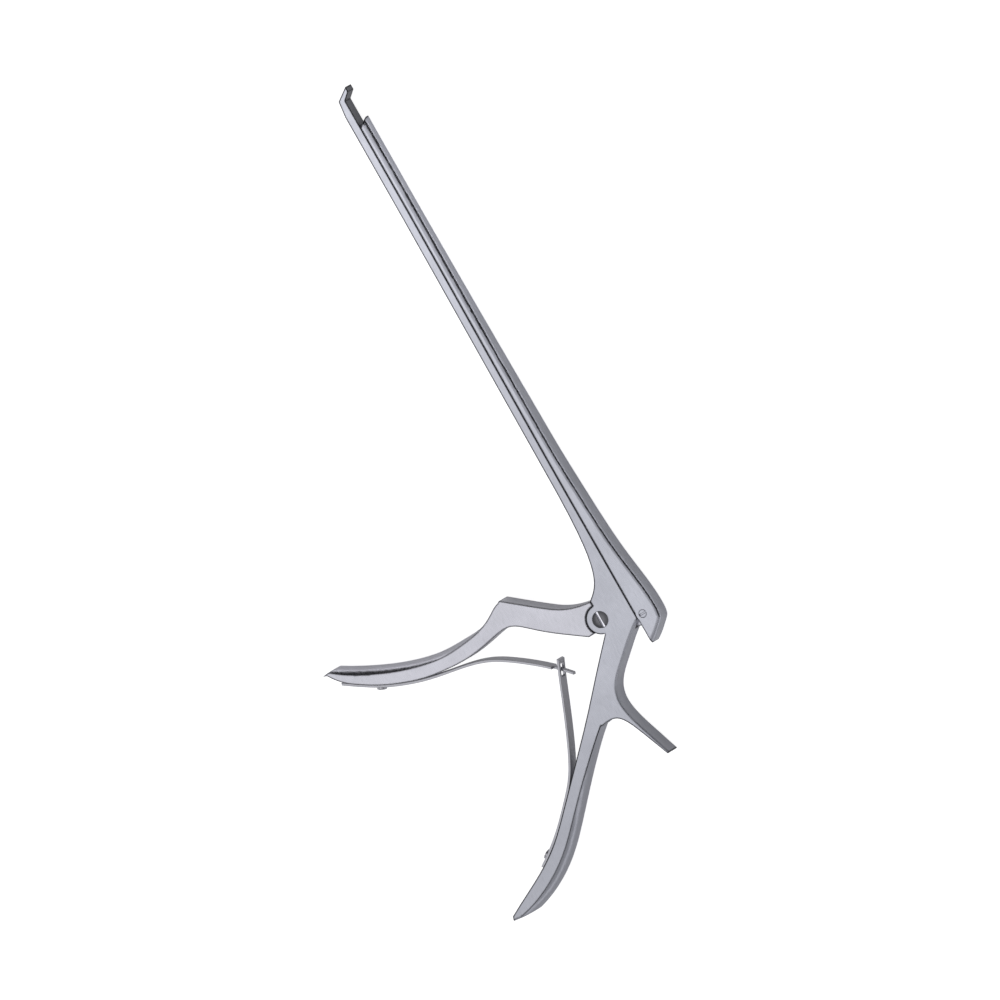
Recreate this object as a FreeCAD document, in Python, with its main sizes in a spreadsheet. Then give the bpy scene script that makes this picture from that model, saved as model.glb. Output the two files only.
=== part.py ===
import FreeCAD, Part
import os
import re

import Sketcher
from FreeCAD import Placement, Rotation, Vector

# Laminectomy punch (bone rongeur) with an upward-biting footplate, lying on its side.
# +X runs from the tip back along the shaft, +Y from the handles towards the slide's top,
# +Z up from the side that it rests on. The origin is on the pivot axis, at that side.
# Everything is in millimetres and drawn with the handles open.

SIZES = [
    # Widths, measured along Z
    ("body_width", 8.0),
    ("shaft_width", 5.3),
    ("taper_front_x", -150.0),
    ("taper_rear_x", -55.0),
    # Fixed shaft and footplate
    ("seam_y", 12.0),
    ("shaft_height", 2.95),
    ("foot_base_x", -194.4),
    ("foot_height", 2.6),
    ("foot_top_thickness", 1.9),
    ("foot_heel_x", -195.2),
    ("foot_heel_rise", 0.7),
    ("foot_heel_length", 5.7),
    ("bite_lean", 40.0),
    # Body around the pivot
    ("flare_x", -57.0),
    ("front_corner_x", -7.1),
    ("knuckle_radius", 5.1),
    ("knuckle_end_angle", 345.0),
    ("stop_gap", 0.1),
    ("body_back_x", 6.0),
    # Rear handle and thumb spur
    ("rear_angle", -48.0),
    ("rear_root_along", 4.2),
    ("rear_root_side", 3.0),
    ("rear_back_along", -4.8),
    ("rear_back_side", 9.5),
    ("rear_tip", 110.9),
    ("rear_tip_side", 0.2),
    ("tip_blunt", 1.5),
    ("shaping_stock", 0.7),
    ("spur_tip_x", 50.3),
    ("spur_tip_y", -1.9),
    ("spur_tip_thickness", 0.8),
    ("spur_root_x", 27.8),
    ("spur_root_y", -19.4),
    ("spur_root_depth", 4.0),
    # Front handle
    ("front_angle", -106.0),
    ("front_tip", 103.2),
    ("front_tip_side", -0.9),
    ("hook_along", 33.9),
    ("hook_side", -13.5),
    ("hook_blunt", 1.2),
    ("knee_along", 32.3),
    ("knee_side", -4.9),
    ("heel_along", 5.6),
    ("heel_side", 5.1),
    ("shoulder_front", 6.9),
    ("shoulder_end_angle", 52.0),
    ("shoulder_gap", 0.15),
    # Tongue of the front handle and the slot it swings in
    ("tongue_thickness", 2.6),
    ("tongue_half_width", 4.4),
    ("tongue_crown_half_width", 2.6),
    ("tongue_top_cover", 3.65),
    ("tongue_side_gap", 0.15),
    ("tongue_swing_gap", 0.4),
    ("neck_front", 3.6),
    ("neck_back", 3.0),
    ("neck_length", 8.0),
    ("shoulder_drop", 1.6),
    # Motion
    ("stroke", 10.5),
    ("drive_rise", 2.55),
    ("closed_gap", 0.1),
    # Slide
    ("slide_gap", 0.05),
    ("slide_back_x", 15.5),
    ("crest_x", 4.8),
    ("crest_reach", 4.0),
    ("crest_height", 8.2),
    ("slide_edge_front", 2.1),
    ("slide_edge", 1.4),
    ("slide_edge_end", 1.7),
    ("back_edge_round", 0.7),
    ("spur_tip_round", 0.4),
    ("pocket_gap", 0.35),
    ("pocket_shoulder_rise", 1.5),
    ("cup_radius", 1.3),
    ("cup_depth", 3.0),
    # Guide keys under the slide and their slots in the fixed shaft
    ("key_neck_width", 1.4),
    ("key_head_width", 2.6),
    ("key_neck_height", 0.9),
    ("key_head_height", 0.9),
    ("key_length", 12.0),
    ("front_key_x", -152.0),
    ("rear_key_x", -62.0),
    ("key_gap", 0.06),
    # Screws
    ("pivot_radius", 1.8),
    ("pivot_head_radius", 2.85),
    ("pivot_head_height", 1.3),
    ("pivot_dome", 0.3),
    ("drive_radius", 1.3),
    ("spring_screw_radius", 0.9),
    ("spring_head_radius", 1.7),
    ("spring_head_height", 0.9),
    ("spring_screw_depth", 2.4),
    ("screw_seat_gap", 0.03),
    ("bore_gap", 0.05),
    ("drive_play", 0.12),
    ("pivot_slot_width", 0.95),
    ("pivot_slot_depth", 0.8),
    ("drive_slot_width", 0.55),
    ("drive_slot_depth", 0.6),
    ("spring_slot_width", 0.5),
    ("spring_slot_depth", 0.5),
    ("spring_head_dome", 0.25),
    # Leaf springs
    ("spring_width", 5.6),
    ("spring_thickness", 0.9),
    ("spring_seat_gap", 0.12),
    ("spring_finger_width", 2.2),
    ("spring_finger_gap", 0.5),
    ("finger_start", 22.2),
    ("spring_slot_start", 20.4),
    ("spring_slot_end", 24.6),
    ("rear_screw_along", 85.7),
    ("rear_screw_side", 4.42),
    ("rear_screw_tilt", -8.0),
    ("front_screw_along", 84.8),
    ("front_screw_side", 6.97),
    ("front_screw_tilt", -10.5),
]

# Rows of (distance along from the pivot, inner edge, thickness, bulge of the rounded back).
# Sides are measured to the left of the handle's axis.
REAR_GRIP = [
    (6.0, 3.1, 6.6, 0.0),
    (18.0, 3.7, 7.1, 0.0),
    (34.0, 5.1, 6.0, 0.6),
    (50.0, 5.6, 5.6, 1.4),
    (66.0, 6.1, 6.1, 2.4),
    (80.0, 6.6, 6.2, 2.8),
    (90.0, 4.9, 6.9, 3.0),
    (98.0, 2.7, 6.9, 2.9),
    (105.0, 0.6, 5.8, 2.5),
]
FRONT_GRIP = [
    (38.3, -2.2, 7.6, 0.3),
    (42.8, 0.3, 6.4, 0.5),
    (50.8, 3.9, 6.9, 1.6),
    (58.8, 5.7, 6.4, 2.2),
    (67.8, 7.2, 6.8, 2.5),
    (76.8, 7.0, 6.7, 2.9),
    (84.8, 6.1, 6.6, 3.1),
    (91.8, 4.3, 5.9, 3.1),
    (97.8, 2.5, 5.4, 2.7),
]
FRONT_ARM = [
    (10.0, 3.7, 8.8),
    (18.0, 1.4, 8.8),
    (26.0, -2.0, 8.5),
]
# Rows of (x, height above the seam) that steer the slide's back up to its crest.
SLIDE_TOP = [
    (-150.0, 3.2),
    (-100.0, 3.1),
    (-72.0, 3.3),
    (-57.0, 3.25),
    (-44.0, 3.85),
    (-30.0, 4.5),
    (-18.0, 5.4),
    (-8.0, 7.0),
]
# Rows of (x, height above the seam) that steer the slide's back end below the crest.
SLIDE_END = [
    (10.3, 7.0),
    (11.7, 5.2),
    (14.1, 2.6),
    (15.2, 0.8),
]
# Rows of (x, y) on the curve from the fixed shaft's underside down to the body's front corner.
FLARE = [
    (-43.0, 9.1),
    (-28.0, 8.6),
    (-17.0, 7.0),
    (-11.0, 4.6),
    (-8.6, 2.2),
]
# Rows of (x, y) that steer the body's back and the top of the thumb spur, from the seam to the tip.
SPUR_TOP = [
    (7.3, 10.0),
    (10.6, 5.3),
    (15.4, 0.0),
    (20.8, -6.9),
    (27.4, -9.4),
    (36.1, -7.2),
    (42.7, -4.6),
    (48.0, -2.8),
]
# Rows of (x, y) that steer the spur's underside, from the tip back to the handle.
SPUR_UNDERSIDE = [
    (45.0, -5.0),
    (38.5, -7.8),
    (32.6, -10.6),
    (30.6, -14.0),
    (31.6, -18.8),
]
# Rows of (distance along, side) on the free part of each leaf spring, in its handle's frame.
REAR_SPRING = [
    (57.0, 4.6),
    (48.0, 1.6),
    (34.0, -4.4),
    (24.0, -9.2),
    (19.0, -11.2),
]
FRONT_SPRING = [
    (58.8, 6.3),
    (50.8, 5.2),
    (42.8, 5.2),
    (34.6, 7.5),
    (26.4, 10.4),
    (20.2, 13.2),
    (15.6, 15.9),
]

doc = FreeCAD.newDocument("bone_rongeur")
sheet = doc.addObject("Spreadsheet::Sheet", "Sizes")
row_number = 0


def size(alias, value):
    """Write one driving dimension into the sheet."""
    global row_number
    row_number += 1
    sheet.set(f"A{row_number}", alias)
    sheet.set(f"B{row_number}", str(value))
    sheet.setAlias(f"B{row_number}", alias)


def table(name, columns, rows):
    """Write a table of driving dimensions, one alias such as name_column_1 for each cell."""
    for number, row in enumerate(rows, 1):
        for column, value in zip(columns, row):
            size(f"{name}_{column}_{number}", value)


for alias, value in SIZES:
    size(alias, value)
table("rear", ("along", "inner", "thick", "bulge"), REAR_GRIP)
table("front", ("along", "inner", "thick", "bulge"), FRONT_GRIP)
table("arm", ("along", "inner", "thick"), FRONT_ARM)
table("slide", ("x", "height"), SLIDE_TOP)
table("flare", ("x", "y"), FLARE)
table("spur_top", ("x", "y"), SPUR_TOP)
table("spur_under", ("x", "y"), SPUR_UNDERSIDE)
table("end", ("x", "height"), SLIDE_END)
table("rear_spring", ("along", "side"), REAR_SPRING)
table("front_spring", ("along", "side"), FRONT_SPRING)
doc.recompute()

ALIASES = {sheet.getAlias(f"B{number}") for number in range(1, row_number + 1)}


def bind(text):
    """The expression with each size's name pointed at the sheet."""
    def point(word):
        return "Sizes." + word[0] if word[0] in ALIASES else word[0]
    return re.sub(r"[A-Za-z_]\w*", point, str(text))


def value_of(text):
    result = sheet.evalExpression(bind(text))
    return float(getattr(result, "Value", result))


def add(kind, name, **properties):
    """A document object; text goes in as an expression, anything else as a plain value."""
    item = doc.addObject(kind, name)
    for key, value in properties.items():
        if isinstance(value, str):
            item.setExpression(key.replace("__", "."), bind(value))
        else:
            setattr(item, key, value)
    return item


def place(item, x="0", y="0", z="0", angle=None):
    """Put an object at sizes from the sheet, turned about Z."""
    if angle is not None:
        item.Placement = Placement(Vector(), Rotation(Vector(0, 0, 1), value_of(angle)))
        item.setExpression("Placement.Rotation.Angle", bind(angle))
    for axis, text in zip("xyz", (x, y, z)):
        item.setExpression(f"Placement.Base.{axis}", bind(text))
    return item


def vector(point):
    return Vector(value_of(point[0]), value_of(point[1]), 0)


def fix(sketch, geometry, position, point):
    """Hold a point of a sketch at two expressions."""
    for kind, text in zip(("DistanceX", "DistanceY"), point):
        number = sketch.addConstraint(
            Sketcher.Constraint(kind, -1, 1, geometry, position, value_of(text)))
        sketch.setExpression(f"Constraints[{number}]", bind(text))


def add_line(sketch, start, end):
    return sketch.addGeometry(Part.LineSegment(vector(start), vector(end)), False)


def add_arc(sketch, start, end, side, centre):
    """An arc that bulges to the right (side 1) or left (side -1) of the way from start to end.

    The centre is given by its x or its y, with None for the one that follows from the two ends.
    """
    first, last = vector(start), vector(end)
    chord = last - first
    halfway = (first + last) * 0.5
    outward = Vector(chord.y, -chord.x, 0).normalize() * side
    axis = 0 if centre[0] is not None else 1
    middle = halfway + outward * ((value_of(centre[axis]) - halfway[axis]) / outward[axis])
    crown = middle + outward * (first - middle).Length
    geometry = sketch.addGeometry(Part.Arc(first, crown, last), False)
    kind = ("DistanceX", "DistanceY")[axis]
    number = sketch.addConstraint(
        Sketcher.Constraint(kind, -1, 1, geometry, 3, value_of(centre[axis])))
    sketch.setExpression(f"Constraints[{number}]", bind(centre[axis]))
    return geometry


def add_curve(sketch, points):
    """A smooth cubic curve steered by its control points."""
    poles = [vector(point) for point in points]
    spans = len(poles) - 3
    knots = [index / spans for index in range(spans + 1)]
    counts = [4] + [1] * (spans - 1) + [4]
    curve = Part.BSplineCurve()
    curve.buildFromPolesMultsKnots(poles, counts, knots, False, 3)
    geometry = sketch.addGeometry(curve, False)
    sketch.exposeInternalGeometry(geometry)
    for index, point in enumerate(points):
        fix(sketch, geometry + 1 + index, 3, point)
    return geometry


def outline(name, start, *steps):
    """A closed sketch. Each step is ("line", end), ("arc", side, centre, end) or ("curve", points)."""
    sketch = doc.addObject("Sketcher::SketchObject", name)
    here = start
    chain = []
    for kind, *details in steps:
        end = details[-1]
        ends = (1, 2)
        if kind == "line":
            geometry = add_line(sketch, here, end)
        elif kind == "arc":
            geometry = add_arc(sketch, here, end, details[0], details[1])
            ends = (1, 2) if details[0] > 0 else (2, 1)
        else:
            geometry = add_curve(sketch, [here] + end)
            end = end[-1]
        chain.append((geometry, ends, kind, end))
        here = end
    for current, following in zip(chain, chain[1:] + chain[:1]):
        geometry, ends, kind, end = current
        follower, next_ends, next_kind = following[:3]
        if (kind, next_kind) != ("curve", "curve"):
            joint = Sketcher.Constraint("Coincident", geometry, ends[1], follower, next_ends[0])
            sketch.addConstraint(joint)
        if "curve" not in (kind, next_kind):
            fix(sketch, geometry, ends[1], end)
    return sketch


def slab(name, sketch, bottom, height):
    """A sketch drawn out along Z, from bottom up by height."""
    place(sketch, z=bottom)
    item = add("Part::Extrusion", name, Base=sketch, Solid=True, LengthFwd=height)
    item.DirMode = "Normal"
    return item


def box(name, low, high):
    """A block between two corners, each given as three expressions."""
    item = doc.addObject("Part::Box", name)
    for side, axis, start, end in zip(("Length", "Width", "Height"), "xyz", low, high):
        item.setExpression(side, bind(f"({end}) - ({start})"))
        item.setExpression(f"Placement.Base.{axis}", bind(start))
    return item


def cylinder(name, radius, height, x="0", y="0", z="0"):
    item = add("Part::Cylinder", name, Radius=radius, Height=height)
    return place(item, x, y, z)


def fuse(name, *parts):
    return add("Part::MultiFuse", name, Shapes=list(parts), Refine=True)


def cut(name, base, *tools):
    """The base less each tool in turn."""
    for number, tool in enumerate(tools, 1):
        step = name if number == len(tools) else f"{name}_less_{number}"
        base = add("Part::Cut", step, Base=base, Tool=tool)
    return base


def soften(name, base, *runs):
    """The base with its long curved edges rounded, on both flats.

    Each run is (left, right, floor, radius at the low X end, radius at the high X end). It takes the
    curved edges whose middle lies between left and right and whose two ends lie above the floor.
    Edges that meet smoothly form one chain, and its radii follow the direction of its first edge.
    """
    doc.recompute()
    chosen = []
    rising = {}
    for left, right, floor, *radii in runs:
        left, right, floor, *radii = [value_of(text) for text in (left, right, floor, *radii)]
        for number, edge in enumerate(base.Shape.Edges, 1):
            first, last = edge.FirstParameter, edge.LastParameter
            start, middle, end = [edge.valueAt(spot) for spot in (first, (first + last) / 2, last)]
            curved = edge.Curve.TypeId == "Part::GeomBSplineCurve"
            if curved and left < middle.x < right and min(start.y, end.y) > floor:
                rises = rising.setdefault(middle.z > value_of(MIDDLE), start.x < end.x)
                chosen.append((number, *(radii if rises else radii[::-1])))
    return add("Part::Fillet", name, Base=base, Edges=chosen)


def rows(name, count, x, y):
    """Expressions for the points of a table."""
    prefix = name + "_"
    return [(x.format(prefix, number), y.format(prefix, number)) for number in range(1, count + 1)]


def back_edge(name, table_rows, side):
    """Points on a handle's back, with stock for the rounder wherever the back is rounded."""
    sign = "+" if side > 0 else "-"
    points = []
    for number, row in enumerate(table_rows, 1):
        stock = " + shaping_stock" if row[3] > 0 else ""
        points.append((f"{name}_along_{number}",
                       f"{name}_inner_{number} {sign} ({name}_thick_{number}{stock})"))
    return points


def section(name, level, apex, bulge, side):
    """One cross-section, across X, of a tool that rounds a back: all that lies outside an arc."""
    half = "(body_width / 2 + 0.2)"
    centre = f"({apex}) - {side} * ({half}^2 + ({bulge})^2) / (2 * ({bulge}))"
    shoulder = f"({apex}) - {side} * ({bulge})"
    far = f"({apex}) + {side} * body_width"
    low, high = "0 - 0.2", "body_width + 0.2"
    edge_low, edge_high = "0 - 1", "body_width + 1"
    sketch = outline(
        name, (shoulder, low),
        ("arc", side, (centre, None), (shoulder, high)),
        ("line", (f"{shoulder} - {side} * body_width / 4", edge_high)),
        ("line", (far, edge_high)),
        ("line", (far, edge_low)),
        ("line", (f"{shoulder} - {side} * body_width / 4", edge_low)),
        ("line", (shoulder, low)))
    across_x = Rotation(Vector(0, 1, 0), Vector(0, 0, 1), Vector(1, 0, 0), "XYZ")
    sketch.Placement = Placement(Vector(), across_x)
    sketch.setExpression("Placement.Base.x", bind(level))
    return sketch


def grip_rounder(name, table_name, count, first, side, before, after):
    """The tool that rounds the back of a grip, through the rows of its table."""
    sign = "+" if side > 0 else "-"
    sections = [section(f"{name}_start", *before, side)]
    for number in range(first, count + 1):
        apex = f"{table_name}_inner_{number} {sign} {table_name}_thick_{number}"
        sections.append(section(f"{name}_{number}", f"{table_name}_along_{number}", apex,
                                f"{table_name}_bulge_{number}", side))
    sections.append(section(f"{name}_end", *after, side))
    return add("Part::Loft", name, Sections=sections, Solid=True, Ruled=False)


def shaft_trim(name, side):
    """The stock beside the narrow shaft, with the taper out to the full body width."""
    inner = f"body_width / 2 + {side} * shaft_width / 2"
    face = "body_width" if side > 0 else "0"
    outer = f"{face} + {side}"
    sketch = outline(
        name + "_plan", ("foot_base_x - 20", inner),
        ("line", ("taper_front_x", inner)),
        ("line", ("taper_rear_x", face)),
        ("line", ("taper_rear_x", outer)),
        ("line", ("foot_base_x - 20", outer)),
        ("line", ("foot_base_x - 20", inner)))
    sketch.Placement = Placement(Vector(), Rotation(Vector(1, 0, 0), 90))
    sketch.setExpression("Placement.Base.y", bind("seam_y + body_width"))
    item = add("Part::Extrusion", name, Base=sketch, Solid=True, LengthFwd="3 * body_width")
    item.DirMode = "Normal"
    return item


def finish(item, node):
    """Name the object that is one separate piece."""
    item.Label = node
    NODES.append(item)
    return item


NODES = []
MIDDLE = "body_width / 2"
DRIVE_Y = "(seam_y + drive_rise)"
TONGUE_TOP = f"({DRIVE_Y} + tongue_top_cover)"
SLOPE = f"(stroke / 2 / {DRIVE_Y})"
WALL = f"(tongue_half_width + tongue_swing_gap) * sqrt(1 + {SLOPE}^2)"
WALL_AT_PIVOT = f"tongue_half_width * sqrt(1 + {SLOPE}^2)"
REACH = f"sqrt({DRIVE_Y}^2 + (stroke / 2)^2)"
KNUCKLE_CLEAR = "(knuckle_radius + shoulder_gap)"

trim_near = shaft_trim("shaft_trim_near", 1)
trim_far = shaft_trim("shaft_trim_far", -1)


def key_slot(name, key_x):
    """A slot of T section for one guide key, and the wide mouth behind it where the key drops in."""
    half_neck = "(key_neck_width / 2 + key_gap)"
    half_head = "(key_head_width / 2 + key_gap)"
    floor = "seam_y - key_neck_height - key_head_height - key_gap"
    front = f"{key_x} - stroke - 0.5"
    back = f"{key_x} + key_length + 0.1"
    neck = box(name + "_neck", (front, floor, f"{MIDDLE} - {half_neck}"),
               (back, "seam_y + 1", f"{MIDDLE} + {half_neck}"))
    head = box(name + "_head", (front, floor, f"{MIDDLE} - {half_head}"),
               (back, "seam_y - key_neck_height + key_gap", f"{MIDDLE} + {half_head}"))
    mouth = box(name + "_mouth", (back, floor, f"{MIDDLE} - {half_head}"),
                (f"{key_x} + 2 * key_length + 0.6", "seam_y + 1", f"{MIDDLE} + {half_head}"))
    return fuse(name, neck, head, mouth)


def screw_frame(along, side, tilt, facing):
    """Where a spring screw's head sits in its handle's frame; facing 1 looks to the handle's left."""
    turn = Rotation(Vector(0, 0, 1), value_of(tilt)) * Rotation(Vector(1, 0, 0), -90 * facing)
    return Placement(Vector(value_of(along), value_of(side), value_of(MIDDLE)), turn)


def screw_hole(name, along, side, tilt, facing):
    """The hole of a spring screw, from beyond its head down into the handle, in the handle's frame."""
    item = add("Part::Cylinder", name, Radius="spring_screw_radius + screw_seat_gap",
               Height="spring_thickness + spring_screw_depth + 3")
    turn = screw_frame(along, side, tilt, facing)
    depth = value_of("spring_thickness + spring_screw_depth")
    item.Placement = turn * Placement(Vector(0, 0, -depth), Rotation())
    return item


def make_frame():
    """Fixed shaft, footplate, body, rear handle and thumb spur: one forging."""
    lean_back = "foot_base_x - foot_height * tan(bite_lean)"
    under = "seam_y - shaft_height"
    body = slab("body_slab", outline(
        "body_outline", ("foot_base_x", "seam_y"),
        ("line", (lean_back, "seam_y + foot_height")),
        ("line", (f"{lean_back} - foot_top_thickness", "seam_y + foot_height")),
        ("line", ("foot_heel_x", f"{under} + foot_heel_rise")),
        ("line", ("foot_heel_x + foot_heel_length", under)),
        ("line", ("flare_x", under)),
        ("curve", rows("flare", len(FLARE), "{}x_{}", "{}y_{}") + [("front_corner_x", "stop_gap")]),
        ("line", ("-sqrt(knuckle_radius^2 - stop_gap^2)", "stop_gap")),
        ("arc", 1, (None, "0"),
         ("knuckle_radius * cos(knuckle_end_angle)", "knuckle_radius * sin(knuckle_end_angle)")),
        ("line", ("body_back_x", "seam_y")),
        ("line", ("foot_base_x", "seam_y"))), "0", "body_width")
    inner = rows("rear", len(REAR_GRIP), "{}along_{}", "{}inner_{}")
    outer = back_edge("rear", REAR_GRIP, 1)
    handle = slab("rear_handle_slab", outline(
        "rear_handle_outline", ("rear_root_along", "rear_root_side"),
        ("curve", inner + [("rear_tip - tip_blunt", "rear_tip_side - tip_blunt / 2")]),
        ("line", ("rear_tip", "rear_tip_side")),
        ("curve", outer[::-1] + [("rear_back_along", "rear_back_side")]),
        ("line", ("rear_back_along", "rear_back_side - 2")),
        ("line", ("rear_root_along - 2", "rear_root_side - 0.6")),
        ("line", ("rear_root_along", "rear_root_side"))), "0", "body_width")
    rounder = grip_rounder(
        "rear_rounder", "rear", len(REAR_GRIP), 3, 1,
        ("rear_along_2 + 6", "rear_inner_2 + rear_thick_2 + 2", "rear_bulge_3"),
        ("rear_tip + 4", "rear_tip_side - 3", "rear_bulge_9"))
    hole = screw_hole("rear_screw_hole", "rear_screw_along", "rear_screw_side", "rear_screw_tilt", -1)
    soft = soften("rear_handle_soft", handle,
                  ("rear_back_along", "rear_tip", "rear_tip_side - tip_blunt / 4",
                   "back_edge_round", "back_edge_round"))
    rear = cut("rear_handle", soft, rounder, hole)
    place(rear, angle="rear_angle")
    spur_tip = ("spur_tip_x", "spur_tip_y")
    spur_end = ("spur_tip_x + spur_tip_thickness / 4", "spur_tip_y - spur_tip_thickness")
    spur = slab("spur", outline(
        "spur_outline", ("body_back_x", "seam_y"),
        ("curve", rows("spur_top", len(SPUR_TOP), "{}x_{}", "{}y_{}") + [spur_tip]),
        ("line", spur_end),
        ("curve", rows("spur_under", len(SPUR_UNDERSIDE), "{}x_{}", "{}y_{}")),
        ("line", ("spur_root_x", "spur_root_y")),
        ("line", ("body_back_x - spur_root_depth", "seam_y / 2")),
        ("line", ("body_back_x - spur_root_depth", "seam_y")),
        ("line", ("body_back_x", "seam_y"))), "0", "body_width")
    spur = soften("spur_soft", spur,
                  ("body_back_x", "spur_tip_x", "spur_tip_y - spur_tip_thickness / 2",
                   "back_edge_round", "spur_tip_round"))
    blank = fuse("frame_blank", body, rear, spur)
    swing = slab("swing_slot", outline(
        "swing_slot_outline", (f"{WALL} + {SLOPE} * (seam_y + 1)", "seam_y + 1"),
        ("line", (f"0 - {WALL} - {SLOPE} * (seam_y + 1)", "seam_y + 1")),
        ("line", (f"0 - {WALL}", "0")),
        ("line", (f"0 - {WALL}", "0 - 2 * knuckle_radius")),
        ("line", (f"{WALL} - {SLOPE} * shoulder_drop", "0 - 2 * knuckle_radius")),
        ("line", (f"{WALL} - {SLOPE} * shoulder_drop", "0 - shoulder_drop")),
        ("line", (f"{WALL} + {SLOPE} * (seam_y + 1)", "seam_y + 1"))),
        f"{MIDDLE} - tongue_thickness / 2 - tongue_side_gap", "tongue_thickness + 2 * tongue_side_gap")
    bore = cylinder("pivot_bore", "pivot_radius + screw_seat_gap", "body_width + 2", z="0 - 1")
    seat = cylinder("pivot_head_seat", "pivot_head_radius + screw_seat_gap", "pivot_head_height + 1",
                    z="body_width - pivot_head_height")
    key_slots = [key_slot(f"{word}_key_slot", f"{word}_key_x") for word in ("front", "rear")]
    return finish(cut("frame", blank, swing, bore, seat, trim_near, trim_far, *key_slots), "frame")


def make_front_handle():
    """Front handle with the thin tongue that swings in the body and drives the slide: one forging."""
    inner = rows("front", len(FRONT_GRIP), "{}along_{}", "{}inner_{}")
    outer = back_edge("front", FRONT_GRIP, -1)
    arm_inner = rows("arm", len(FRONT_ARM), "{}along_{}", "{}inner_{}")
    arm_outer = [(along, f"{side} - {side.replace('inner', 'thick')}") for along, side in arm_inner]
    corner = ("0 - shoulder_front * cos(front_angle)", "shoulder_front * sin(front_angle)")
    knuckle_start = (f"0 - {KNUCKLE_CLEAR} * cos(front_angle)", f"{KNUCKLE_CLEAR} * sin(front_angle)")
    knuckle_end = (f"{KNUCKLE_CLEAR} * cos(shoulder_end_angle)",
                   f"{KNUCKLE_CLEAR} * sin(shoulder_end_angle)")
    grip = slab("front_grip_slab", outline(
        "front_outline", corner,
        ("curve", arm_outer + [("hook_along", "hook_side")]),
        ("line", ("hook_along + hook_blunt", "hook_side + 0.75 * hook_blunt")),
        ("curve", outer + [("front_tip", "front_tip_side")]),
        ("line", ("front_tip - tip_blunt", "front_tip_side + tip_blunt / 15")),
        ("curve", inner[::-1] + [("knee_along", "knee_side")] + arm_inner[::-1]
         + [("heel_along", "heel_side")]),
        ("line", knuckle_end),
        ("arc", -1, ("0", None), knuckle_start),
        ("line", corner)), "0", "body_width")
    rounder = grip_rounder(
        "front_rounder", "front", len(FRONT_GRIP), 1, -1,
        ("hook_along + hook_blunt / 2", "hook_side + 0.375 * hook_blunt", "front_bulge_1"),
        ("front_tip + 4", "front_tip_side", "front_bulge_9"))
    neck = box("neck", ("0.5", "0 - neck_front", f"{MIDDLE} - tongue_thickness / 2"),
               ("neck_length", "neck_back", f"{MIDDLE} + tongue_thickness / 2"))
    hole = screw_hole("front_screw_hole", "front_screw_along", "front_screw_side", "front_screw_tilt", 1)
    lever = fuse("lever", cut("front_grip", grip, rounder, hole), neck)
    place(lever, angle="front_angle")
    crown_y = f"sqrt({TONGUE_TOP}^2 - tongue_crown_half_width^2)"
    tongue = slab("tongue_slab", outline(
        "tongue_outline", ("tongue_half_width", "0"),
        ("line", ("tongue_half_width", DRIVE_Y)),
        ("line", ("tongue_crown_half_width", crown_y)),
        ("arc", 1, (None, "0"), ("0 - tongue_crown_half_width", crown_y)),
        ("line", ("0 - tongue_half_width", DRIVE_Y)),
        ("line", ("0 - tongue_half_width", "0")),
        ("arc", 1, (None, "0"), ("tongue_half_width", "0"))),
        f"{MIDDLE} - tongue_thickness / 2", "tongue_thickness")
    half = "(drive_radius + drive_play)"
    low, high = f"{DRIVE_Y} - drive_play", f"{REACH} + drive_play"
    drive_slot = slab("drive_slot", outline(
        "drive_slot_outline", (half, low),
        ("line", (half, high)),
        ("arc", 1, (None, high), (f"0 - {half}", high)),
        ("line", (f"0 - {half}", low)),
        ("arc", 1, (None, low), (half, low))), "0", "body_width")
    slotted = cut("tongue", tongue, drive_slot)
    place(slotted, angle=f"atan(0 - {SLOPE})")
    bore = cylinder("tongue_bore", "pivot_radius + bore_gap", "body_width + 2", z="0 - 1")
    return finish(cut("front_handle", fuse("front_handle_blank", lever, slotted), bore), "front_handle")


def guide_key(name, key_x):
    """A T-shaped key under the slide."""
    top = "seam_y + slide_gap"
    neck = box(name + "_neck", (key_x, "seam_y - key_neck_height", f"{MIDDLE} - key_neck_width / 2"),
               (f"{key_x} + key_length", f"{top} + 0.5", f"{MIDDLE} + key_neck_width / 2"))
    head = box(name + "_head",
               (key_x, "seam_y - key_neck_height - key_head_height", f"{MIDDLE} - key_head_width / 2"),
               (f"{key_x} + key_length", "seam_y - key_neck_height", f"{MIDDLE} + key_head_width / 2"))
    return fuse(name, neck, head)


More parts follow.
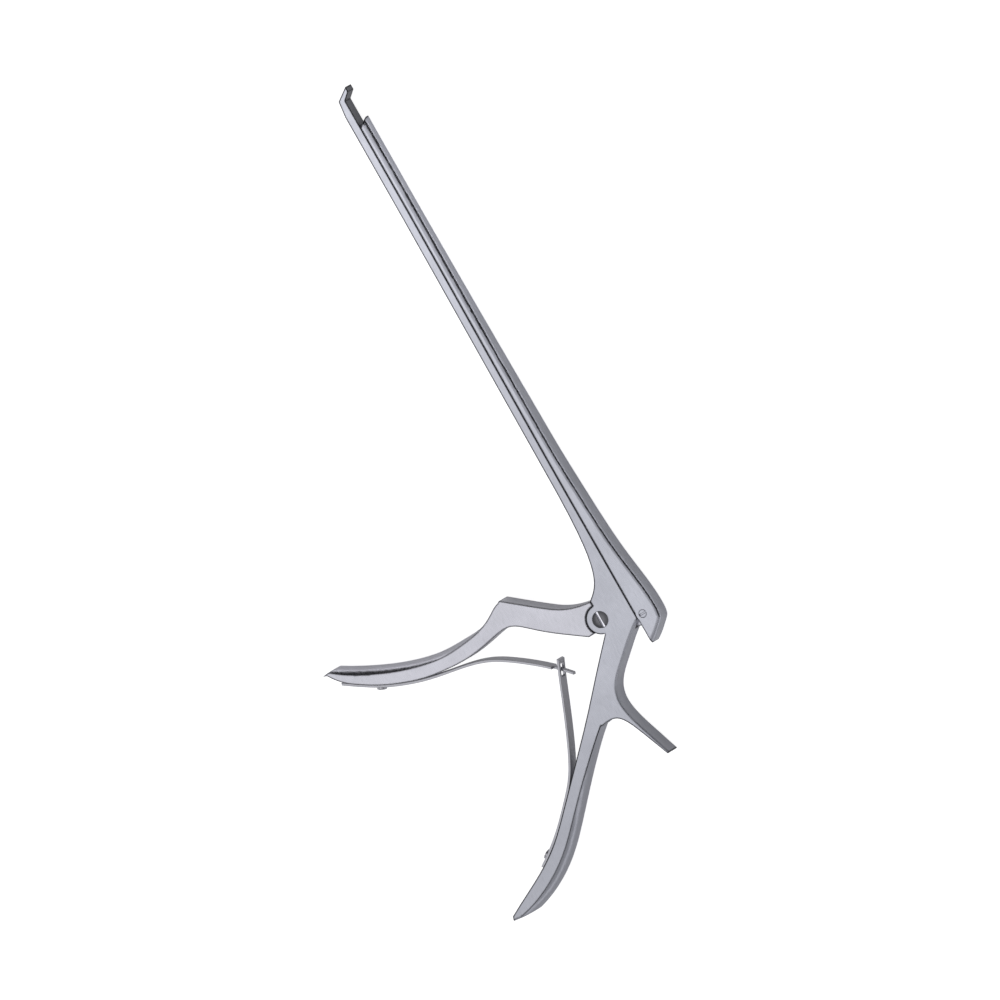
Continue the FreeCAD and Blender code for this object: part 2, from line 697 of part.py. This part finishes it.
def make_slide():
    """The upper bar: its nose cuts against the footplate, its heel is forked over the tongue."""
    nose = "foot_base_x + closed_gap + stroke"
    top = rows("slide", len(SLIDE_TOP), "{}x_{}", "seam_y + {}height_{}")
    crest = [(f"crest_x {offset}", "seam_y + crest_height")
             for offset in ("- crest_reach", "", "+ crest_reach")]
    end = rows("end", len(SLIDE_END), "{}x_{}", "seam_y + {}height_{}")
    bar = slab("slide_slab", outline(
        "slide_outline", (f"{nose} - slide_gap * tan(bite_lean)", "seam_y + slide_gap"),
        ("line", (f"{nose} - slide_height_1 * tan(bite_lean)", "seam_y + slide_height_1")),
        ("curve", top + crest[:2]),
        ("curve", crest[2:] + end),
        ("line", ("slide_back_x", "seam_y + slide_gap")),
        ("line", (f"{nose} - slide_gap * tan(bite_lean)", "seam_y + slide_gap"))), "0", "body_width")
    keys = [guide_key("front_key", "front_key_x"), guide_key("rear_key", "rear_key_x")]
    blank = fuse("slide_blank", bar, *keys)
    centre = "stroke / 2"
    half = "(tongue_half_width + pocket_gap)"
    mouth = f"({WALL_AT_PIVOT} + drive_rise * {SLOPE} + pocket_gap)"
    crown = "(tongue_crown_half_width + pocket_gap)"
    ceiling = f"{TONGUE_TOP} + pocket_gap"
    shoulder = f"{DRIVE_Y} + pocket_shoulder_rise"
    pocket = slab("fork_pocket", outline(
        "fork_outline", (f"{centre} + {mouth}", "seam_y - 1"),
        ("line", (f"{centre} + {half}", shoulder)),
        ("line", (f"{centre} + {crown}", ceiling)),
        ("line", (f"{centre} - {crown}", ceiling)),
        ("line", (f"{centre} - {half}", shoulder)),
        ("line", (f"{centre} - {mouth}", "seam_y - 1")),
        ("line", (f"{centre} + {mouth}", "seam_y - 1"))),
        f"{MIDDLE} - tongue_thickness / 2 - tongue_side_gap", "tongue_thickness + 2 * tongue_side_gap")
    hole = cylinder("drive_hole", "drive_radius + screw_seat_gap", "body_width + 2",
                    centre, DRIVE_Y, "0 - 1")
    cup = add("Part::Cylinder", "cup", Radius="cup_radius", Height="cup_depth + body_width")
    cup.Placement = Placement(Vector(), Rotation(Vector(0, 1, 0), 90))
    for axis, text in zip("xyz", (f"{nose} - body_width", "seam_y + foot_height / 2", MIDDLE)):
        cup.setExpression(f"Placement.Base.{axis}", bind(text))
    bare = cut("slide_bare", blank, pocket, hole, trim_near, trim_far, cup)
    floor = f"seam_y + end_height_{len(SLIDE_END)} / 2"
    smooth = soften(
        "slide", bare,
        ("taper_rear_x", "crest_x", floor, "slide_edge", "slide_edge"),
        ("taper_front_x", "taper_rear_x", floor, "slide_edge_front", "slide_edge"),
        (f"{nose} - body_width", "taper_front_x", floor, "slide_edge_front", "slide_edge_front"),
        ("crest_x", "slide_back_x", floor, "slide_edge", "slide_edge_end"))
    return finish(smooth, "slide")


def turned(name, head_radius, head_height, dome, shank_radius, depth):
    """A turned screw about Z, with the seat of its head at height 0."""
    centre = f"{head_height} + {dome} - (({head_radius})^2 + ({dome})^2) / (2 * ({dome}))"
    sketch = outline(
        name + "_profile", ("0", f"0 - ({depth})"),
        ("line", (shank_radius, f"0 - ({depth})")),
        ("line", (shank_radius, "0")),
        ("line", (head_radius, "0")),
        ("line", (head_radius, head_height)),
        ("arc", 1, (None, centre), ("0", f"{head_height} + {dome}")),
        ("line", ("0", f"0 - ({depth})")))
    sketch.Placement = Placement(Vector(), Rotation(Vector(1, 0, 0), 90))
    return add("Part::Revolution", name + "_turned",
               Source=sketch, Axis=Vector(0, 0, 1), Angle=360.0, Solid=True)


def driver_slot(name, reach, top, width, depth, across):
    """The slot for a screwdriver, along X or, where across is true, along Y."""
    sides = (reach, f"({width}) / 2")
    x, y = sides[::-1] if across else sides
    return box(name, (f"0 - ({x})", f"0 - ({y})", f"{top} - ({depth})"), (x, y, f"{top} + 1"))


def make_pivot_screw():
    blank = turned("pivot_screw", "pivot_head_radius", "pivot_head_height", "pivot_dome", "pivot_radius",
                   "body_width - pivot_head_height")
    slot = driver_slot("pivot_driver_slot", "2 * pivot_head_radius", "pivot_head_height + pivot_dome",
                       "pivot_slot_width", "pivot_slot_depth", False)
    screw = cut("pivot_screw", blank, slot)
    return finish(place(screw, z="body_width - pivot_head_height"), "pivot_screw")


def make_drive_screw():
    """The headless screw through the fork of the slide and the slot of the tongue."""
    blank = cylinder("drive_screw_rod", "drive_radius", "body_width")
    slot = driver_slot("drive_driver_slot", "2 * drive_radius", "body_width", "drive_slot_width",
                       "drive_slot_depth", True)
    screw = cut("drive_screw", blank, slot)
    return finish(place(screw, "stroke / 2", DRIVE_Y), "drive_screw")


def make_spring_screw(handle, facing):
    along, side, tilt = (f"{handle}_screw_{word}" for word in ("along", "side", "tilt"))
    name = f"{handle}_spring_screw"
    blank = turned(name, "spring_head_radius", "spring_head_height", "spring_head_dome",
                   "spring_screw_radius", "spring_thickness + spring_screw_depth")
    top = "spring_head_height + spring_head_dome"
    slot = driver_slot(f"{handle}_spring_driver_slot", "2 * spring_head_radius", top,
                       "spring_slot_width", "spring_slot_depth", True)
    screw = cut(name, blank, slot)
    angle = f"{handle}_angle"
    turn = Placement(Vector(), Rotation(Vector(0, 0, 1), value_of(angle)))
    screw.Placement = turn * screw_frame(along, side, tilt, facing)
    screw.setExpression("Placement.Base.x", bind(f"{along} * cos({angle}) - {side} * sin({angle})"))
    screw.setExpression("Placement.Base.y", bind(f"{along} * sin({angle}) + {side} * cos({angle})"))
    screw.setExpression("Placement.Base.z", bind(MIDDLE))
    return finish(screw, name)


def leaf(handle, points, facing, *cuts):
    """A leaf spring through points on its lower face, in its handle's frame."""
    raised = [(along, f"{side} + spring_thickness") for along, side in points]
    strip = slab(f"{handle}_leaf", outline(
        f"{handle}_leaf_outline", points[0],
        ("curve", points[1:]),
        ("line", raised[-1]),
        ("curve", raised[::-1][1:]),
        ("line", points[0])), f"{MIDDLE} - spring_width / 2", "spring_width")
    spot = [f"{handle}_screw_{word}" for word in ("along", "side", "tilt")]
    hole = screw_hole(f"{handle}_leaf_hole", *spot, facing)
    spring = cut(f"{handle}_spring", strip, hole, *cuts)
    place(spring, angle=f"{handle}_angle")
    return finish(spring, f"{handle}_spring")


def make_front_spring():
    seated = [(f"front_along_{number}", f"front_inner_{number} + spring_seat_gap")
              for number in (9, 8, 7, 6, 5)]
    free = rows("front_spring", len(FRONT_SPRING), "{}along_{}", "{}side_{}")
    near, far = f"{MIDDLE} + spring_finger_width / 2", f"{MIDDLE} - spring_finger_width / 2"
    trims = [box(f"finger_{word}_trim", ("0", "0", low), ("finger_start", "3 * body_width", high))
             for word, low, high in (("near", near, "body_width"), ("far", "0", far))]
    return leaf("front", seated + free, 1, *trims)


def make_rear_spring():
    seated = [(f"rear_along_{number}", f"rear_inner_{number} - spring_seat_gap - spring_thickness")
              for number in (6, 5)]
    tail = [f"(rear_{word}_6 + 4 * rear_{word}_7 + rear_{word}_8) / 6" for word in ("along", "inner")]
    seated.insert(0, (tail[0], f"{tail[1]} - spring_seat_gap - spring_thickness"))
    free = rows("rear_spring", len(REAR_SPRING), "{}along_{}", "{}side_{}")
    half = "(spring_finger_width / 2 + spring_finger_gap)"
    slot = box("finger_slot", ("spring_slot_start", "0 - 3 * body_width", f"{MIDDLE} - {half}"),
               ("spring_slot_end", "body_width", f"{MIDDLE} + {half}"))
    return leaf("rear", seated + free, -1, slot)


make_frame()
make_front_handle()
make_slide()
make_pivot_screw()
make_drive_screw()
make_spring_screw("rear", -1)
make_spring_screw("front", 1)
make_rear_spring()
make_front_spring()
doc.recompute()

for item in doc.Objects:
    if "Invalid" in item.State or "Error" in item.State:
        raise RuntimeError(f"{item.Name} failed: {item.getStatusString()}")
for item in NODES:
    if item.Shape.isNull() or not item.Shape.isValid():
        raise RuntimeError(f"{item.Label} has no valid shape")

os.makedirs("parts", exist_ok=True)
for item in NODES:
    item.Shape.exportStep(os.path.join("parts", item.Label + ".step"))
    box_size = item.Shape.BoundBox
    print(f"{item.Label}: {len(item.Shape.Solids)} solid, {item.Shape.Volume:.1f} mm3, "
          f"{box_size.XLength:.1f} x {box_size.YLength:.1f} x {box_size.ZLength:.1f} mm")
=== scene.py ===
import math

import bmesh
import bpy
from mathutils import Matrix, Vector


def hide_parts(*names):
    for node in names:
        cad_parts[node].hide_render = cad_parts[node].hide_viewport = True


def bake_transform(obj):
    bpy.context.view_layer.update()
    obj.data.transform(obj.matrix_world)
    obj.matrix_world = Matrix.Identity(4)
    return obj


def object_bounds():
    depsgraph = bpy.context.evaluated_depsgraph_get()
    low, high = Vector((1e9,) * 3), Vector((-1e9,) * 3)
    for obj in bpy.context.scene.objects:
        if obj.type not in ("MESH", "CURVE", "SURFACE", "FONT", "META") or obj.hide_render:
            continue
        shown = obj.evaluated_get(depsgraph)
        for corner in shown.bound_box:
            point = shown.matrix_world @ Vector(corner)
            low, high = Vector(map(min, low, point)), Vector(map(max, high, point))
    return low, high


MM = 0.001

# The camera: where the photograph was taken from
SHAFT_ANGLE = math.radians(29.6)
TILT = math.radians(23.0)
DISTANCE = 12.0
IMAGE_SIZE = 1000
PIXELS_PER_MM = 2.967
PIVOT_PIXEL = (600.2, 619.6)
PIVOT_POINT = Vector((0, 0, 8 * MM))
SENSOR = 36.0

# The studio's walls, as pairs of a height (the sine of the elevation) and the level there.
# The corner between +Y and -X is hung with black cloth, which begins where y - x of the
# direction is in CLOTH_EDGE. The other walls are grey.
CLOTH = [(0.11, 1.5), (0.17, 0.01), (0.84, 0.01), (0.89, 0.63)]
WALLS = [(0.11, 1.1), (0.3, 0.5), (0.75, 0.38), (0.89, 0.63)]
CLOTH_EDGE = (0.1, 0.34)
WALL_BLUE = 1.03

# The floor: half its side in metres, its gap under the part in mm, its finish, and how it
# glows to the camera and in reflections
FLOOR_HALF = 4.0
FLOOR_GAP = 0.1
FLOOR_COLOUR = (0.85, 0.85, 0.86, 1)
FLOOR_ROUGHNESS = 0.9
FLOOR_GLOW = 0.85
FLOOR_GLOSS = 0.18

# The one lamp, a disk high above the part, towards -Y
LAMP_PLACE = (0, -0.9, 2.1)
LAMP_TARGET = (-0.05, 0, 0)
LAMP_SIZE = 1.2
LAMP_POWER = 2.0

# The steels
STEEL = (0.59, 0.59, 0.64)
FRAME_STEEL = (0.49, 0.5, 0.55)
SPRING_STEEL = (0.42, 0.42, 0.45)
SCREW_STEEL = (0.5, 0.5, 0.53)
# The pivot screw's steel, painted dark as a dark reflection on its head; the cut's painted
# highlight brightens the rest
PAINTED_DARK_STEEL = (0.14, 0.14, 0.15)

# The satin finish: the scales of its noises, the middle range of a noise, which is used in
# full, and what it does to the tone, the roughness and the relief, which is in mm
GRAIN_SCALE = 9000.0
SMUDGE_SCALE = 90.0
BRUSH_STRETCH = (350.0, 9000.0, 9000.0)
NOISE_RANGE = (0.3, 0.7)
SMUDGE_TONES = (0.94, 1.04)
SMOOTHER, ROUGHER = 0.05, 0.06
RELIEF_STRENGTH = 0.35
RELIEF_DEPTH = 0.01

# The rounded edges, whose colour is darkened towards them as a painted dark reflection: their
# reach in mm, the part of it that also bends the reflections, the cosine of the normal's turn
# from painted dark to plain, the painted dark's tone, and the width in mm of the ring round a
# plain hole that fades to it
EDGE_REACH = 0.9
ROUNDED_PART = 1 / 3
EDGE_TURN = (0.965, 0.9985)
EDGE_PAINTED_DARK = 0.05
HOLE_FADE = 0.3

# How the frame and the slide are painted along x, in mm: painted light brightens the shaft,
# and painted shade darkens the rear grip
PAINTED_SHADES = [(-150, -45, 1.35, 1.0), (15, 50, 1.0, 0.84)]

# The pivot screw's cut, painted bright as a painted highlight on its dark-painted steel: its
# floor's height and the fade above it, in mm, and how much brighter it is painted
CUT_TOP = 7.95
CUT_FADE = 0.05
CUT_PAINTED_HIGHLIGHT = 6.0

# The painted shade on the faces round the bite: where they end in x and begin in y, in mm, how
# far a face has to lean from the side's plane, and how dark they are painted
BITE_END = (-184, -183)
BITE_START = (9.8, 10.1)
BITE_LEAN = (0.3, 0.8)
BITE_PAINTED_SHADE = 0.3

# Holes that the rounded edges' painted dark leaves plain: x, y and radius in mm
PIVOT_HOLE = (0, 0, 4.3)
DRIVE_HOLE = (5.25, 14.55, 2.4)

# The solids whose edges are broken in the mesh, and how wide, in mm
BROKEN_EDGES = {
    "front_handle": 0.15,
    "slide": 0.15,
    "pivot_screw": 0.08,
    "drive_screw": 0.08,
    "front_spring_screw": 0.08,
    "rear_spring_screw": 0.08,
}
LEAF_EDGE = 0.1
JOIN_WITHIN = 0.0005
FLAT_WITHIN = math.radians(0.3)
SHARP_FROM = math.radians(30)

# The leaf springs: where they leave their grips, where they hook into each other, the cuts
# between those two points, and the cuts beyond each of them
FRONT_SPRING_ROOT = (-10.2 * MM, -58.5 * MM, 4 * MM)
REAR_SPRING_ROOT = (41.6 * MM, -39.3 * MM, 4 * MM)
CROSSING = (7.3 * MM, -23.6 * MM, 4 * MM)
LEAF_CUTS = 24
LEAF_CUTS_BEYOND = 8

# The Mix node's sockets for colours, which share their names with those of its other types
MIX_FIRST, MIX_SECOND, MIX_RESULT = 6, 7, 2


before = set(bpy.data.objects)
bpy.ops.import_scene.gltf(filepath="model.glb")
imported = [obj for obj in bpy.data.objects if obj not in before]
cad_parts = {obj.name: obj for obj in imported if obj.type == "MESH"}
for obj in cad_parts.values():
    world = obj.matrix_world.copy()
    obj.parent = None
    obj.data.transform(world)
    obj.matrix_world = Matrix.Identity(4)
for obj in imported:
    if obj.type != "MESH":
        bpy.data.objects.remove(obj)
cad_low, cad_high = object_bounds()


def camera_axes():
    """The image's right, up and backward directions in the shared frame."""
    sideways = Vector((0, math.cos(TILT), -math.sin(TILT)))
    shaft = Vector((1, 0, 0))
    right = math.sin(SHAFT_ANGLE) * shaft + math.cos(SHAFT_ANGLE) * sideways
    up = -math.cos(SHAFT_ANGLE) * shaft + math.sin(SHAFT_ANGLE) * sideways
    return right, up, right.cross(up)


def make_camera():
    """A camera far away that puts the pivot and the shaft where the photograph has them."""
    right, up, back = camera_axes()
    scale = MM / PIXELS_PER_MM
    half = IMAGE_SIZE / 2
    centre = (PIVOT_POINT - right * (PIVOT_PIXEL[0] - half) * scale
              + up * (PIVOT_PIXEL[1] - half) * scale)
    data = bpy.data.cameras.new("camera")
    data.sensor_width = SENSOR
    data.lens = SENSOR * DISTANCE / (IMAGE_SIZE * scale)
    camera = bpy.data.objects.new("camera", data)
    turn = Matrix((right, up, back)).transposed().to_4x4()
    camera.matrix_world = Matrix.Translation(centre + back * DISTANCE) @ turn
    bpy.context.scene.collection.objects.link(camera)
    bpy.context.scene.camera = camera


class Nodes:
    """A short way to build a node tree."""

    def __init__(self, tree):
        self.tree = tree
        tree.nodes.clear()

    def add(self, kind, inputs=None, **settings):
        """A node with its settings, and with its inputs linked or set."""
        node = self.tree.nodes.new(kind)
        for key, value in settings.items():
            setattr(node, key, value)
        for key, value in (inputs or {}).items():
            if isinstance(value, bpy.types.NodeSocket):
                self.tree.links.new(value, node.inputs[key])
            else:
                node.inputs[key].default_value = value
        return node

    def combine(self, operation, *values):
        """The result of one sum with numbers."""
        inputs = dict(enumerate(values))
        return self.add("ShaderNodeMath", inputs, operation=operation).outputs[0]

    def axes(self, vector):
        """The sockets X, Y and Z of a vector."""
        return self.add("ShaderNodeSeparateXYZ", {"Vector": vector}).outputs

    def normal(self):
        """The surface's normal, with no bump or rounding."""
        return self.add("ShaderNodeNewGeometry").outputs["Normal"]

    def rounded_normal(self, radius, samples):
        """The surface's normal as if its edges were rounded, with the radius in mm."""
        bevel = self.add("ShaderNodeBevel", {"Radius": radius * MM}, samples=samples)
        return bevel.outputs["Normal"]

    def noise(self, vector, scale, detail):
        inputs = {"Vector": vector, "Scale": scale, "Detail": detail}
        return self.add("ShaderNodeTexNoise", inputs).outputs["Fac"]

    def spread(self, value, low, high, to_low, to_high):
        """Map a range of a value on to another."""
        inputs = {"Value": value, "From Min": low, "From Max": high,
                  "To Min": to_low, "To Max": to_high}
        return self.add("ShaderNodeMapRange", inputs).outputs["Result"]

    def end_in(self, kind, shader):
        """Link the shader to a new output node."""
        self.tree.links.new(shader, self.add(kind).inputs["Surface"])


def plain_hole(n, place, hole):
    """One inside a hole's circle in the side's plane, and nought outside it."""
    x, y, radius = hole
    flat = n.add("ShaderNodeVectorMath", {0: place, 1: (1, 1, 0)}, operation="MULTIPLY")
    away = n.add("ShaderNodeVectorMath", {0: flat.outputs[0], 1: (x * MM, y * MM, 0)},
                 operation="DISTANCE").outputs["Value"]
    return n.spread(away, radius * MM, (radius + HOLE_FADE) * MM, 1.0, 0.0)


def edge_painted_dark(n, place, reach, hole):
    """The painted dark reflection along the rounded edges, left plain round a hole that is
    given.
    """
    true = n.normal()
    wide = n.rounded_normal(reach, samples=8)
    turned = n.add("ShaderNodeVectorMath", {0: wide, 1: true},
                   operation="DOT_PRODUCT").outputs["Value"]
    if hole:
        turned = n.combine("MAXIMUM", turned, plain_hole(n, place, hole))
    return n.spread(turned, *EDGE_TURN, EDGE_PAINTED_DARK, 1.0)


def painted_shade_factors(n, place):
    """Painted light and shade that change slowly along the shaft and the rear grip."""
    along = n.axes(place)["X"]
    return [n.spread(along, start * MM, stop * MM, first, last)
            for start, stop, first, last in PAINTED_SHADES]


def cut_painted_highlight(n, place):
    """A screw's cut and sides painted bright below its top, a painted highlight."""
    height = n.axes(place)["Z"]
    return n.spread(height, (CUT_TOP - CUT_FADE) * MM, CUT_TOP * MM, CUT_PAINTED_HIGHLIGHT, 1.0)


def bite_painted_shade(n, place):
    """The painted shade on the faces round the bite, which lean from the side's plane."""
    spot = n.axes(place)
    facing = n.axes(n.normal())["Z"]
    above = n.spread(spot["Y"], BITE_START[0] * MM, BITE_START[1] * MM, 0.0, 1.0)
    ahead = n.spread(spot["X"], BITE_END[0] * MM, BITE_END[1] * MM, 1.0, 0.0)
    leaning = n.spread(facing, *BITE_LEAN, 1.0, 0.0)
    inside = n.combine("MULTIPLY", n.combine("MULTIPLY", ahead, leaning), above)
    return n.spread(inside, 0.0, 1.0, 1.0, BITE_PAINTED_SHADE)


def steel(name, colour, roughness, edge=EDGE_REACH, hole=None, painted_shades=False, cut=False,
          bite=False):
    """Satin steel: a fine matt grain, faint brush marks, soft smudges, and rounded edges with a
    painted dark reflection.

    Edge is the reach of the rounded edges and their painted dark, in mm, and hole a circle that
    stays plain.
    The rest say whether it has the painted light and shade along x, a screw's painted highlight
    in its cut and the bite's painted shade.
    """
    material = bpy.data.materials.new(name)
    material.use_nodes = True
    n = Nodes(material.node_tree)
    place = n.add("ShaderNodeTexCoord").outputs["Object"]
    stretched = n.add("ShaderNodeMapping", {"Vector": place, "Scale": BRUSH_STRETCH})
    grain = n.noise(place, GRAIN_SCALE, 2.0)
    smudges = n.noise(place, SMUDGE_SCALE, 4.0)
    brushed = n.noise(stretched.outputs["Vector"], 1.0, 3.0)

    # Painted light in the base colour: dark reflections along the edges and, where asked, light
    # and shade along x, the screw cut's highlight and the bite's shade
    factors = [edge_painted_dark(n, place, edge, hole)]
    if painted_shades:
        factors += painted_shade_factors(n, place)
    if cut:
        factors.append(cut_painted_highlight(n, place))
    if bite:
        factors.append(bite_painted_shade(n, place))
    level = n.spread(smudges, *NOISE_RANGE, *SMUDGE_TONES)
    for factor in factors:
        level = n.combine("MULTIPLY", level, factor)
    rgb = n.add("ShaderNodeRGB")
    rgb.outputs[0].default_value = (*colour, 1)
    tone = n.add("ShaderNodeVectorMath", {0: rgb.outputs[0], "Scale": level}, operation="SCALE")

    matt = n.spread(brushed, *NOISE_RANGE, roughness - SMOOTHER, roughness + ROUGHER)
    bump = n.add("ShaderNodeBump", {
        "Height": n.combine("ADD", grain, brushed), "Strength": RELIEF_STRENGTH,
        "Distance": RELIEF_DEPTH * MM,
        "Normal": n.rounded_normal(edge * ROUNDED_PART, samples=6)})
    shader = n.add("ShaderNodeBsdfPrincipled", {
        "Base Color": tone.outputs[0], "Metallic": 1.0, "Roughness": matt,
        "Normal": bump.outputs["Normal"]})
    n.end_in("ShaderNodeOutputMaterial", shader.outputs["BSDF"])
    return material


def paint(obj, material):
    """Give an object one material in place of those that it has."""
    obj.data.materials.clear()
    obj.data.materials.append(material)


def soften_edges(obj, width):
    """Break the sharp edges of a solid, with the width in mm."""
    obj.modifiers.new("join_corners", "WELD").merge_threshold = JOIN_WITHIN * MM
    plain = obj.modifiers.new("whole_flats", "DECIMATE")
    plain.decimate_type = "DISSOLVE"
    plain.angle_limit = FLAT_WITHIN
    bevel = obj.modifiers.new("broken_edges", "BEVEL")
    bevel.width = width * MM
    bevel.segments = 3
    bevel.limit_method = "ANGLE"
    bevel.angle_limit = SHARP_FROM
    bevel.use_clamp_overlap = False
    bevel.loop_slide = False
    obj.modifiers.new("face_normals", "WEIGHTED_NORMAL").keep_sharp = True


def add_leaf(node, root):
    """A copy of a leaf spring, cut across at even steps along the way from its root to where
    the two leaves cross, and beyond both; the CAD spring is hidden.
    """
    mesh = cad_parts[node].data.copy()
    start, crossing = Vector(root), Vector(CROSSING)
    way = crossing - start
    work = bmesh.new()
    work.from_mesh(mesh)
    for step in range(-LEAF_CUTS_BEYOND, LEAF_CUTS + LEAF_CUTS_BEYOND):
        parts = work.verts[:] + work.edges[:] + work.faces[:]
        bmesh.ops.bisect_plane(work, geom=parts, plane_co=start + way * step / LEAF_CUTS,
                               plane_no=way)
    work.to_mesh(mesh)
    work.free()
    leaf = bpy.data.objects.new(node + "_leaf", mesh)
    bpy.context.scene.collection.objects.link(leaf)
    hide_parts(node)
    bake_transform(leaf)
    return leaf


def floor_material():
    """A white that also glows to the camera, and faintly in reflections."""
    material = bpy.data.materials.new("floor_white")
    material.use_nodes = True
    n = Nodes(material.node_tree)
    path = n.add("ShaderNodeLightPath").outputs
    mirrored = n.combine("MULTIPLY", path["Is Glossy Ray"], FLOOR_GLOSS)
    glow = n.combine("MULTIPLY_ADD", path["Is Camera Ray"], FLOOR_GLOW, mirrored)
    shader = n.add("ShaderNodeBsdfPrincipled", {
        "Base Color": FLOOR_COLOUR, "Roughness": FLOOR_ROUGHNESS,
        "Emission Color": (1, 1, 1, 1), "Emission Strength": glow})
    n.end_in("ShaderNodeOutputMaterial", shader.outputs["BSDF"])
    return material


def make_floor():
    half = FLOOR_HALF
    mesh = bpy.data.meshes.new("floor")
    corners = [(-half, -half, 0), (half, -half, 0), (half, half, 0), (-half, half, 0)]
    mesh.from_pydata(corners, [], [(0, 1, 2, 3)])
    mesh.materials.append(floor_material())
    floor = bpy.data.objects.new("floor", mesh)
    floor.location.z = cad_low[2] - FLOOR_GAP * MM
    bpy.context.scene.collection.objects.link(floor)


def wall_colour(n, height, stops):
    """The colour of one wall by height."""
    ramp = n.add("ShaderNodeValToRGB", {"Fac": height})
    elements = ramp.color_ramp.elements
    while len(elements) < len(stops):
        elements.new(1.0)
    for element, (position, level) in zip(elements, stops):
        element.position = position
        element.color = (level, level, level * WALL_BLUE, 1)
    return ramp.outputs["Color"]


def make_world():
    """A pale studio with a bright ceiling, a light horizon and a black cloth in one corner."""
    world = bpy.data.worlds.new("studio")
    world.use_nodes = True
    n = Nodes(world.node_tree)
    direction = n.axes(n.add("ShaderNodeTexCoord").outputs["Generated"])
    corner = n.combine("SUBTRACT", direction["Y"], direction["X"])
    walls = n.add("ShaderNodeMix", {
        "Factor": n.spread(corner, *CLOTH_EDGE, 0.0, 1.0),
        MIX_FIRST: wall_colour(n, direction["Z"], WALLS),
        MIX_SECOND: wall_colour(n, direction["Z"], CLOTH)}, data_type="RGBA")
    background = n.add("ShaderNodeBackground", {
        "Color": walls.outputs[MIX_RESULT], "Strength": 1.0})
    n.end_in("ShaderNodeOutputWorld", background.outputs[0])
    bpy.context.scene.world = world


def make_lamp():
    data = bpy.data.lights.new("overhead", "AREA")
    data.shape = "DISK"
    data.size = LAMP_SIZE
    data.energy = LAMP_POWER
    lamp = bpy.data.objects.new("overhead", data)
    lamp.location = LAMP_PLACE
    aim = Vector(LAMP_TARGET) - Vector(LAMP_PLACE)
    lamp.rotation_euler = aim.to_track_quat("-Z", "Y").to_euler()
    bpy.context.scene.collection.objects.link(lamp)


materials = {
    "frame": steel("forged_satin_painted_shade", FRAME_STEEL, 0.28, hole=PIVOT_HOLE, painted_shades=True, bite=True),
    "front_handle": steel("handle_satin", STEEL, 0.28),
    "slide": steel("slide_satin", FRAME_STEEL, 0.26, hole=DRIVE_HOLE, painted_shades=True),
    "pivot_screw": steel("screw_turned", PAINTED_DARK_STEEL, 0.18, edge=0.1, cut=True),
    "drive_screw": steel("screw_turned_2", FRAME_STEEL, 0.28, edge=0.03),
    "front_spring_screw": steel("screw_turned_3", SCREW_STEEL, 0.22, edge=0.2),
    "rear_spring_screw": steel("screw_turned_4", SCREW_STEEL, 0.22, edge=0.2),
}
for node, material in materials.items():
    paint(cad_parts[node], material)
leaves = [add_leaf("front_spring", FRONT_SPRING_ROOT),
          add_leaf("rear_spring", REAR_SPRING_ROOT)]
for leaf in leaves:
    paint(leaf, steel(leaf.name + "_satin", SPRING_STEEL, 0.28, edge=0.15))
    soften_edges(leaf, LEAF_EDGE)
for node, width in BROKEN_EDGES.items():
    soften_edges(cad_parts[node], width)

make_camera()
make_floor()
make_world()
make_lamp()
bpy.context.scene.view_settings.view_transform = "Standard"
